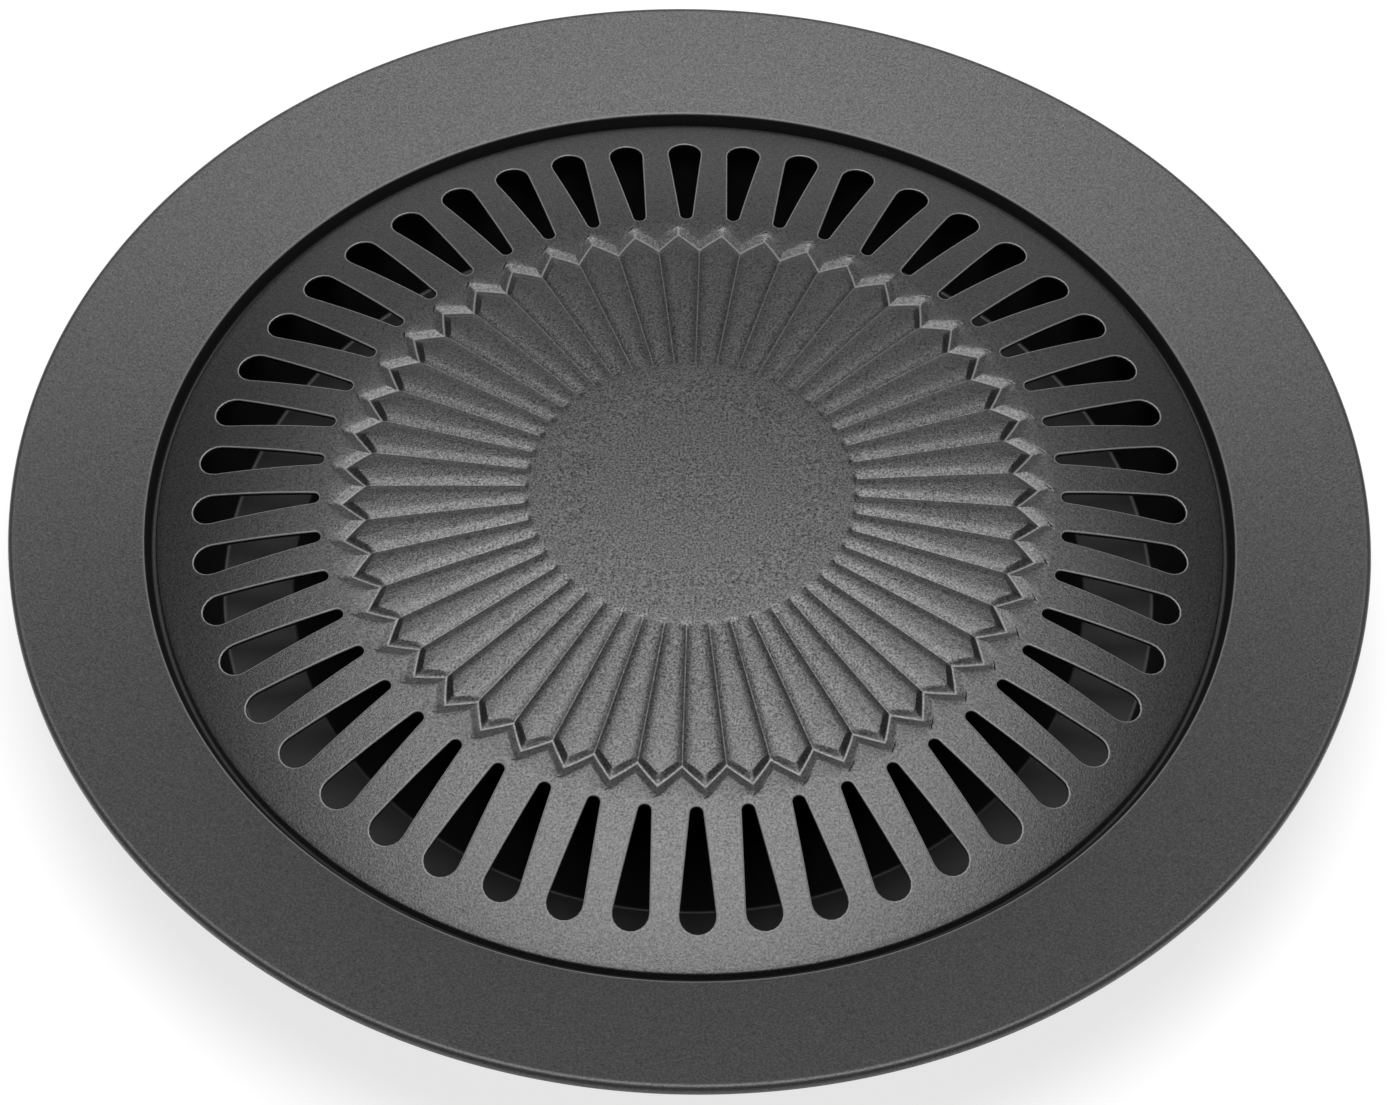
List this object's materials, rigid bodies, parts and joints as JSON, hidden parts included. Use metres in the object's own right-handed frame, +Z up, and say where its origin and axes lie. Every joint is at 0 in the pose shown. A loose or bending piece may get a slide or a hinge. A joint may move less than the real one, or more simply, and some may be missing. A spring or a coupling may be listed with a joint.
{
  "type": "stovetop grill",
  "caption": "Round stovetop barbecue grill: a domed steel plate with pressed petals and a ring of fat slots, lying loose on the ledge of a ring-shaped drip pan with a wide rim.",
  "frame": {"origin": "centre of the pan at the surface that it stands on", "axes": "+Z up along the axis of the pan and the plate; X and Y lie in the standing surface"},
  "size_m": [0.33, 0.33, 0.0372],
  "materials": {
    "pan_coating": "speckled non-stick coating, satin",
    "plate_coating": "speckled non-stick coating, satin"
  },
  "bodies": {
    "drip_pan": {"drip_pan": "pan_coating"},
    "grill_plate": {"grill_plate": "plate_coating"}
  },
  "joints": [
    {"name": "plate_lift", "type": "slide", "parent": "drip_pan", "child": "grill_plate", "axis": [0, 0, 1], "range_m": [0, 0.05]}
  ]
}
